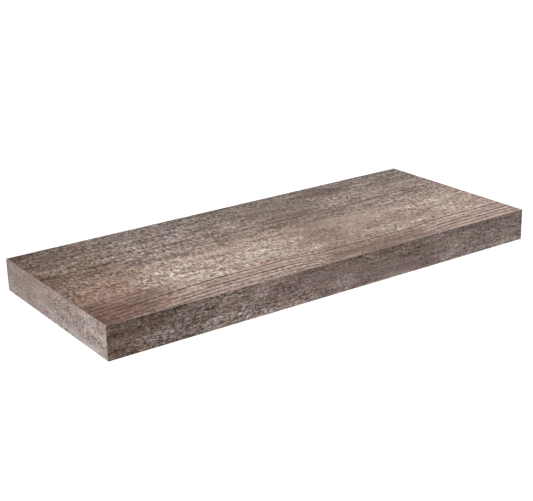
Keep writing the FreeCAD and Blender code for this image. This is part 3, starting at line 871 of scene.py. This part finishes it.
TOP_LOOK = {
    "along range": (cad_low.x, cad_high.x),
    "across range": (0.0, board_depth),
    "coarseness": (0.58, 1.9, 1.0),
    "waver": 0.010,
    "lines": 0.11,
    "drift": 0.030,
    "drift size": (0.13, 0.035, 1.0),
    "contrast": 0.80,
    "boldness along": (0.15, 0.50, 1.20, 1.0),
    "boldness across": (0.30, 0.50, 1.15, 0.92),
    "across stops": [
        (0.00, paint(121, 106, 98)),
        (0.14, paint(125, 110, 102)),
        (0.26, paint(142, 125, 117)),
        (0.42, paint(140, 121, 111)),
        (0.58, paint(168, 148, 136)),
        (0.76, paint(166, 146, 134)),
        (0.86, paint(162, 140, 130)),
        (1.00, paint(163, 141, 132)),
    ],
    "along stops": [
        (0.00, (0.545, 0.45, 0.40, 1.0)),
        (0.10, (0.72, 0.65, 0.605, 1.0)),
        (0.24, (1.00, 1.00, 1.00, 1.0)),
        (0.42, (0.97, 0.97, 0.96, 1.0)),
        (0.56, (0.86, 0.84, 0.82, 1.0)),
        (0.74, (0.97, 0.97, 0.96, 1.0)),
        (0.88, (1.02, 1.02, 1.02, 1.0)),
        (1.00, (0.94, 0.94, 0.95, 1.0)),
    ],
    "patches": [
        ((0.050, 0.070), (0.060, 0.065), (121, 106, 97), 0.75, 0.45),
        ((0.145, 0.028), (0.042, 0.025), (101, 81, 74), 0.78, 0.20),
        ((0.042, 0.165), (0.042, 0.036), (139, 116, 105), 0.80, 0.35),
        ((-0.250, 0.172), (0.065, 0.036), (138, 110, 98), 0.60, 0.10),
        ((-0.272, 0.222), (0.062, 0.030), (108, 82, 73), 0.80, 0.20),
        ((0.078, 0.234), (0.105, 0.024), (126, 104, 93), 0.90, 0.20),
        ((0.098, 0.142), (0.050, 0.024), (155, 137, 127), 0.60, 0.50),
        ((0.145, 0.176), (0.054, 0.024), (136, 114, 101), 0.62, 0.10),
        ((-0.125, 0.170), (0.120, 0.036), (177, 157, 145), 0.60, 0.0),
        ((-0.240, 0.074), (0.055, 0.018), (127, 110, 96), 0.60, 0.0),
    ],
    "rims": [
        ("across", 0.0, 0.16),
        ("along", cad_low.x, 0.10),
        ("along", cad_high.x, 0.14),
    ],
}
BOTTOM_LOOK = {
    **TOP_LOOK,
    "patches": [
        ((0.160, 0.060), (0.080, 0.045), (124, 109, 100), 0.50, 0.30),
        ((-0.090, 0.150), (0.120, 0.030), (166, 147, 135), 0.35, 0.0),
        ((-0.210, 0.080), (0.060, 0.030), (134, 107, 95), 0.50, 0.10),
    ],
}
finish_node("top_skin", driftwood_skin("driftwood_top", cad_high.z, TOP_LOOK, wood=0.0, rings=growth_rings))
finish_node("bottom_skin", driftwood_skin("driftwood_bottom", cad_low.z, BOTTOM_LOOK, wood=7.0))


# Edging: plastic strips a millimetre thick, printed to go with the skins and glued on last.
# Their outer edges are rounded over, which cuts through the print and bares the strip's own colour.
STRIP_COLOUR = (0.28, 0.212, 0.182, 1.0)
PRINT_SHARES = (0.000048, 0.00008, 1.0, 0.0)


def driftwood_edging(name, outer_axis, outer_face, look, wood):
    """A printed plastic strip. outer_axis is the direction that its printed face looks in."""
    material, finish = new_material(name)
    axes = finish.axes(finish.place())
    along = axes["X"] if outer_axis == "Y" else finish.times(axes["Y"], -1.0)
    printed, print_height = driftwood_print(finish, along, axes["Z"], wood, look)
    on_face = finish.remap(finish.apart(axes[outer_axis], outer_face), *PRINT_SHARES)
    finish.surface({
        "Base Color": finish.mix(on_face, STRIP_COLOUR, printed),
        "Roughness": finish.remap(print_height, *PRINT_ROUGHNESS),
        "Specular IOR Level": PRINT_SHINE,
        "Normal": finish.relief(print_height, *PRINT_RELIEF),
    })
    return material


STRIP_LOOK = {
    "across range": (cad_low.z, cad_high.z),
    "waver": 0.012,
    "drift": 0.020,
    "drift size": (0.06, 0.012, 1.0),
    "boldness across": (0.0, 1.0, 1.0, 1.0),
}
# The front strip's colours are darker than the top's partly because its print is darker and partly as
# painted shade, for the face that the key lamp barely reaches.
FRONT_PRINT_AND_PAINTED_SHADE = {
    **STRIP_LOOK,
    "drift": 0.010,
    "along range": (cad_low.x, cad_high.x),
    "coarseness": (0.64, 0.60, 1.0),
    "lines": 0.17,
    "contrast": 0.73,
    "boldness along": (0.25, 0.50, 1.50, 1.03),
    "along stops": [
        (0.00, paint(107, 89, 78)),
        (0.10, paint(122, 105, 97)),
        (0.27, paint(138, 121, 112)),
        (0.43, paint(135, 117, 110)),
        (0.66, paint(128, 111, 102)),
        (0.80, paint(136, 120, 112)),
        (1.00, paint(134, 119, 111)),
    ],
    "across stops": [
        (0.00, (1.13, 1.14, 1.16, 1.0)),
        (0.50, (1.00, 1.00, 1.00, 1.0)),
        (1.00, (0.88, 0.865, 0.85, 1.0)),
    ],
    "patches": [
        ((-0.195, 0.006), (0.030, 0.010), (120, 110, 102), 0.55, 0.0),
        ((-0.040, 0.003), (0.040, 0.013), (132, 116, 112), 0.50, 0.30),
        ((0.040, 0.000), (0.030, 0.014), (126, 112, 105), 0.50, 0.40),
        ((0.110, -0.008), (0.060, 0.010), (132, 115, 110), 0.50, 0.35),
        ((0.182, -0.006), (0.016, 0.014), (152, 137, 131), 0.60, 0.10),
        ((-0.232, 0.011), (0.050, 0.010), (100, 83, 74), 0.55, 0.0),
        ((-0.232, -0.012), (0.045, 0.008), (138, 121, 113), 0.50, 0.0),
    ],
    "rims": [
        ("along", cad_low.x, 0.05),
        ("along", cad_high.x, 0.18),
        ("across", cad_high.z, 0.06),
    ],
}
# The end strips' colours are their print made a little lighter as painted light, for the left end that faces
# the key lamp; the right end shares them.
END_PRINT_AND_PAINTED_LIGHT = {
    **STRIP_LOOK,
    "along range": (0.0, board_depth),
    "coarseness": (0.50, 0.60, 1.0),
    "lines": 0.06,
    "contrast": 0.55,
    "boldness along": (0.30, 0.75, 1.0, 1.30),
    "along stops": [
        (0.00, paint(142, 126, 119)),
        (0.50, paint(150, 134, 127)),
        (1.00, paint(161, 146, 139)),
    ],
    "across stops": [
        (0.00, (1.06, 1.08, 1.11, 1.0)),
        (0.50, (1.00, 1.00, 1.00, 1.0)),
        (1.00, (0.95, 0.935, 0.92, 1.0)),
    ],
    "patches": [
        ((0.035, 0.006), (0.045, 0.014), (148, 130, 122), 0.50, 0.30),
        ((0.020, -0.014), (0.030, 0.006), (154, 143, 132), 0.50, 0.20),
        ((0.205, -0.012), (0.045, 0.008), (168, 155, 152), 0.40, 0.0),
    ],
    "rims": [("along", 0.0, 0.10)],
}
finish_node("front_edge_band", driftwood_edging("driftwood_front_and_painted_shade", "Y", cad_low.y, FRONT_PRINT_AND_PAINTED_SHADE, wood=5.0))
finish_node("end_edge_band_left", driftwood_edging("driftwood_left_and_painted_light", "X", cad_low.x, END_PRINT_AND_PAINTED_LIGHT, wood=15.0))
finish_node("end_edge_band_right", driftwood_edging("driftwood_right_and_painted_light", "X", cad_high.x, END_PRINT_AND_PAINTED_LIGHT, wood=19.0))


# Threaded inserts: turned steel nuts with yellow zinc plate, a coarse wood thread outside, a flange
# and a six-sided mouth. They are driven up into the rod blocks from below.
INSERT_SIZES = {
    "Flange thickness": 0.0015,
    "Flange chamfer": 0.0004,
    "Body radius": 0.0045,
    "Pitch": 0.0024,
    "Thread depth": 0.0008,
    "Lead chamfer": 0.0008,
    "Bore radius": 0.0030,
    "Mouth flats": 0.0064,
    "Mouth depth": 0.0025,
}
INSERT_JOIN_OVERLAP = 0.0001
BORE_BAR_LENGTHS = 3.0
THREAD_SIDES = 48
THREAD_ROWS_PER_TURN = 8
THREAD_STEEPNESS = 1.25
INSERT_LOOK = {
    "bloom size": 0.006,
    "grain size": (0.0004, 0.0004, 0.0004),
    "dull": (0.34, 0.31, 0.25, 1.0),
    "bright": (0.46, 0.42, 0.33, 1.0),
    "rub": (0.0002, 0.5, ZINC_RUB),
    "roughness": (0.5, 0.36),
    "relief": (0.3, 0.00005),
}


def cylinder(shaper, radius, length, sides=THREAD_SIDES, rows=1):
    """A bar along Z, centred on the origin."""
    sizes = {"Vertices": sides, "Side Segments": rows, "Radius": radius, "Depth": length}
    return shaper.add("GeometryNodeMeshCylinder", sizes)


def threaded_rod(shaper, radius, length, chamfer):
    """A threaded bar along Z, centred on the origin: a cylinder whose side sinks into a helical groove."""
    bar = cylinder(shaper, radius, length, rows=shaper.given["Rows"])
    axes = shaper.axes(shaper.add("GeometryNodeInputPosition"))
    turn = shaper.math("ARCTAN2", axes["Y"], axes["X"])
    climb = shaper.math("DIVIDE", axes["Z"], shaper.given["Pitch"])
    helix = shaper.math("FRACT", shaper.math("MULTIPLY_ADD", turn, -1.0 / (2.0 * math.pi), climb))
    from_root = shaper.math("ABSOLUTE", shaper.math("MULTIPLY_ADD", helix, 2.0, -1.0))
    slope = shaper.times(shaper.minus(1.0, from_root), THREAD_STEEPNESS)
    sunk = shaper.times(shaper.math("MINIMUM", slope, 1.0), shaper.given["Thread depth"])
    to_end = shaper.minus(shaper.times(length, 0.5), shaper.math("ABSOLUTE", axes["Z"]))
    chamfered = shaper.math("ADD", shaper.minus(radius, chamfer), to_end)
    new_radius = shaper.math("MINIMUM", shaper.minus(radius, sunk), chamfered)
    new_x = shaper.times(shaper.math("COSINE", turn), new_radius)
    new_y = shaper.times(shaper.math("SINE", turn), new_radius)
    new_place = shaper.combine(new_x, new_y, axes["Z"])
    return shaper.add("GeometryNodeSetPosition", {"Geometry": bar, "Position": new_place})


def lifted(shaper, geometry, height):
    """The geometry moved up along Z."""
    move = {"Geometry": geometry, "Translation": shaper.combine(z=height)}
    return shaper.add("GeometryNodeTransform", move)


def boolean(shaper, operation, first, second):
    """Joins two solids, or cuts the second out of the first."""
    node = shaper.node("GeometryNodeMeshBoolean", operation=operation, solver="EXACT")
    shaper.feed(node.inputs["Mesh 2"], second)
    shaper.feed(node.inputs["Mesh 1" if operation == "DIFFERENCE" else "Mesh 2"], first)
    return node.outputs["Mesh"]


def hexagon_cut(shaper, solid, flats, depth):
    """Cuts a six-sided hole, of that width across its flats, up into a solid that stands on the origin."""
    corner_radius = shaper.math("DIVIDE", flats, math.sqrt(3.0))
    plug = cylinder(shaper, corner_radius, shaper.times(depth, 2.0), sides=6)
    return boolean(shaper, "DIFFERENCE", solid, plug)


def foot_place(low, high):
    """The middle of the underside of a piece's box."""
    return Vector(((low.x + high.x) / 2, (low.y + high.y) / 2, low.z))


insert = Shaper("threaded insert", (*INSERT_SIZES, "Flange radius", "Body length"), counts=("Rows",))
flange_radius = insert.given["Flange radius"]
flange_thickness = insert.given["Flange thickness"]
flange_chamfer = insert.given["Flange chamfer"]
insert_bar_length = insert.given["Body length"]
insert_bar = threaded_rod(
    insert, insert.given["Body radius"], insert_bar_length, insert.given["Lead chamfer"]
)
bar_lift = insert.math("MULTIPLY_ADD", insert_bar_length, 0.5, flange_thickness)
insert_bar = lifted(insert, insert_bar, insert.minus(bar_lift, INSERT_JOIN_OVERLAP))
flange_low = insert.add("GeometryNodeMeshCone", {
    "Vertices": THREAD_SIDES,
    "Radius Top": flange_radius,
    "Radius Bottom": insert.minus(flange_radius, flange_chamfer),
    "Depth": flange_chamfer,
})
flange_high = cylinder(insert, flange_radius, insert.minus(flange_thickness, flange_chamfer))
flange_lift = insert.times(insert.math("ADD", flange_thickness, flange_chamfer), 0.5)
flange = boolean(insert, "UNION", flange_low, lifted(insert, flange_high, flange_lift))
insert_length = insert.math("ADD", insert_bar_length, flange_thickness)
bore_bar = cylinder(insert, insert.given["Bore radius"], insert.times(insert_length, BORE_BAR_LENGTHS))
bored = boolean(insert, "DIFFERENCE", boolean(insert, "UNION", flange, insert_bar), bore_bar)
insert.finish(hexagon_cut(insert, bored, insert.given["Mouth flats"], insert.given["Mouth depth"]))

insert_material = steel_finish("insert_metal", INSERT_LOOK)
for side in ("left", "right"):
    low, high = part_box(f"threaded_insert_{side}")
    body_length = high.z - low.z - INSERT_SIZES["Flange thickness"]
    piece = make_shape(f"wood_thread_insert_{side}", insert.tree, {
        **INSERT_SIZES,
        "Flange radius": (high.x - low.x) / 2,
        "Body length": body_length,
        "Rows": round(body_length / INSERT_SIZES["Pitch"] * THREAD_ROWS_PER_TURN),
        "Foot": foot_place(low, high),
        "Finish": insert_material,
    })
    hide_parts(f"threaded_insert_{side}")
    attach(piece, "shelf_board")


# Locking screws: black set screws with a six-sided socket, turned up against the rods from below.
# They hold the board on the bracket.
SCREW_SIZES = {
    "Pitch": 0.0010,
    "Thread depth": 0.00045,
    "Chamfer": 0.0007,
    "Socket flats": 0.0030,
    "Socket depth": 0.0035,
}
STEEL_BARE = (0.42, 0.42, 0.42, 1.0)
SCREW_LOOK = {
    "bloom size": 0.004,
    "grain size": (0.0003, 0.0003, 0.0003),
    "dull": (0.030, 0.031, 0.034, 1.0),
    "bright": (0.11, 0.11, 0.115, 1.0),
    "rub": (0.00015, 0.9, STEEL_BARE),
    "roughness": (0.48, 0.34),
    "relief": (0.25, 0.00004),
}
screw = Shaper("locking screw", (*SCREW_SIZES, "Radius", "Length"), counts=("Rows",))
screw_length = screw.given["Length"]
screw_bar = threaded_rod(screw, screw.given["Radius"], screw_length, screw.given["Chamfer"])
screw_bar = lifted(screw, screw_bar, screw.times(screw_length, 0.5))
screw.finish(hexagon_cut(screw, screw_bar, screw.given["Socket flats"], screw.given["Socket depth"]))

screw_material = steel_finish("black_steel", SCREW_LOOK)
for side in ("left", "right"):
    low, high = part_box(f"locking_screw_{side}")
    length = high.z - low.z
    piece = make_shape(f"threaded_screw_{side}", screw.tree, {
        **SCREW_SIZES,
        "Radius": (high.x - low.x) / 2,
        "Length": length,
        "Rows": round(length / SCREW_SIZES["Pitch"] * THREAD_ROWS_PER_TURN),
        "Foot": foot_place(low, high),
        "Finish": screw_material,
    })
    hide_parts(f"locking_screw_{side}")
    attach(piece, f"locking_screw_{side}")
